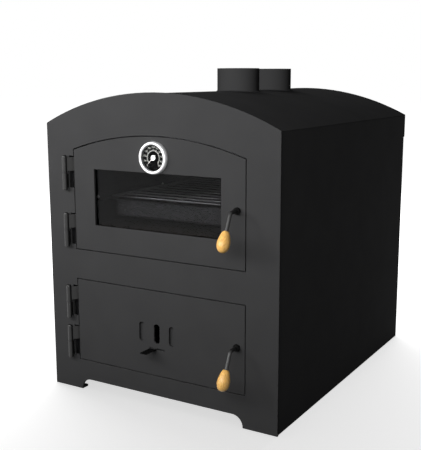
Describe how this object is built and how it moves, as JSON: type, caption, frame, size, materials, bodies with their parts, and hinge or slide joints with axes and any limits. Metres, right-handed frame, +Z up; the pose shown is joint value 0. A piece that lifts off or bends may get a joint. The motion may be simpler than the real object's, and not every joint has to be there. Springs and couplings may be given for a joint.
{
  "type": "countertop wood-fired oven",
  "caption": "Arched steel countertop oven with a firebox below and a glazed oven above, hinged doors with wooden knobs, an air slider, a dial thermometer and flue collars",
  "frame": {"origin": "on the floor, under the middle of the whole oven's box", "axes": "+Z up, -Y towards someone facing the doors, +X to that person's right"},
  "size_m": [0.6, 0.8426, 0.7535],
  "materials": {
    "black_paint": "matte",
    "plain_steel": "matte",
    "bright_screws": "satin",
    "mineral_wool": "matte",
    "stainless_steel": "satin",
    "rack_wire": "satin",
    "speckled_enamel": "gloss",
    "galvanised_steel": "matte",
    "fire_brick": "matte",
    "vermiculite_board": "matte",
    "cast_iron": "matte",
    "washer_steel": "satin",
    "ceramic_glass": "polished",
    "glass_fibre_tape": "matte",
    "glass_fibre_rope": "matte",
    "chrome_bezel": "polished",
    "black_dial": "matte",
    "clear_glass": "polished",
    "white_needle": "satin",
    "turned_wood": "satin"
  },
  "bodies": {
    "oven_body": {"front_plate": "black_paint", "left_side_panel": "black_paint", "right_side_panel": "black_paint", "roof_sheet": "black_paint", "rear_panel": "black_paint", "rear_panel_screws": "bright_screws", "base_plate": "black_paint", "smoke_jacket": "plain_steel", "side_insulation": "mineral_wool", "roof_insulation": "mineral_wool", "rear_insulation": "mineral_wool", "base_insulation": "mineral_wool", "vent_pipe": "black_paint", "smoke_flue": "black_paint", "upper_mouth_frame": "plain_steel", "lower_mouth_frame": "plain_steel", "oven_chamber": "stainless_steel", "oven_floor_bricks": "fire_brick", "rack_rails": "stainless_steel", "rail_bolts": "bright_screws", "firebox_floor": "plain_steel", "firebox_bricks": "fire_brick", "fire_grate": "cast_iron", "flame_baffle": "vermiculite_board", "frame_knuckles": "black_paint", "hinge_pins": "plain_steel", "hinge_washers": "washer_steel"},
    "upper_door": {"upper_door_plate": "black_paint", "upper_door_knuckles": "black_paint", "glass_gasket": "glass_fibre_tape", "window_glass": "ceramic_glass", "glass_clips": "bright_screws", "upper_seal_channel": "plain_steel", "upper_rope_seal": "glass_fibre_rope", "upper_handle_bush": "black_paint", "thermometer_case": "chrome_bezel", "thermometer_dial": "black_dial", "thermometer_lens": "clear_glass", "thermometer_stem": "stainless_steel", "stem_nut": "bright_screws"},
    "thermometer_hand": {"thermometer_needle": "white_needle"},
    "upper_handle": {"upper_handle_rod": "black_paint", "upper_knob": "turned_wood", "upper_latch_tongue": "plain_steel", "upper_latch_nut": "bright_screws"},
    "lower_door": {"lower_door_plate": "black_paint", "lower_door_knuckles": "black_paint", "lower_seal_channel": "plain_steel", "lower_rope_seal": "glass_fibre_rope", "lower_handle_bush": "black_paint", "slider_guides": "plain_steel"},
    "lower_handle": {"lower_handle_rod": "black_paint", "lower_knob": "turned_wood", "lower_latch_tongue": "plain_steel", "lower_latch_nut": "bright_screws"},
    "air_control": {"air_slider": "black_paint"},
    "rack": {"oven_rack": "rack_wire"},
    "tray": {"drip_tray": "speckled_enamel"},
    "pan": {"ash_pan": "galvanised_steel"}
  },
  "joints": [
    {"name": "upper_door_swing", "type": "hinge", "parent": "oven_body", "child": "upper_door", "pos_m": [-0.242, -0.359, 0.453], "axis": [0, 0, -1], "range_deg": [0, 120]},
    {"name": "lower_door_swing", "type": "hinge", "parent": "oven_body", "child": "lower_door", "pos_m": [-0.242, -0.359, 0.167], "axis": [0, 0, -1], "range_deg": [0, 120]},
    {"name": "upper_handle_turn", "type": "hinge", "parent": "upper_door", "child": "upper_handle", "pos_m": [0.204, -0.349, 0.466], "axis": [0, -1, 0], "range_deg": [-30, 60]},
    {"name": "lower_handle_turn", "type": "hinge", "parent": "lower_door", "child": "lower_handle", "pos_m": [0.204, -0.349, 0.177], "axis": [0, -1, 0], "range_deg": [-30, 60]},
    {"name": "air_slider_slide", "type": "slide", "parent": "lower_door", "child": "air_control", "axis": [1, 0, 0], "range_m": [0, 0.02]},
    {"name": "needle_turn", "type": "hinge", "parent": "upper_door", "child": "thermometer_hand", "pos_m": [0, -0.349, 0.5635], "axis": [0, 1, 0], "range_deg": [0, 270]},
    {"name": "rack_slide", "type": "slide", "parent": "oven_body", "child": "rack", "axis": [0, -1, 0], "range_m": [0, 0.04]},
    {"name": "tray_slide", "type": "slide", "parent": "oven_body", "child": "tray", "axis": [0, -1, 0], "range_m": [0, 0.03]},
    {"name": "ash_pan_slide", "type": "slide", "parent": "oven_body", "child": "pan", "axis": [0, -1, 0], "range_m": [0, 0.028]}
  ]
}
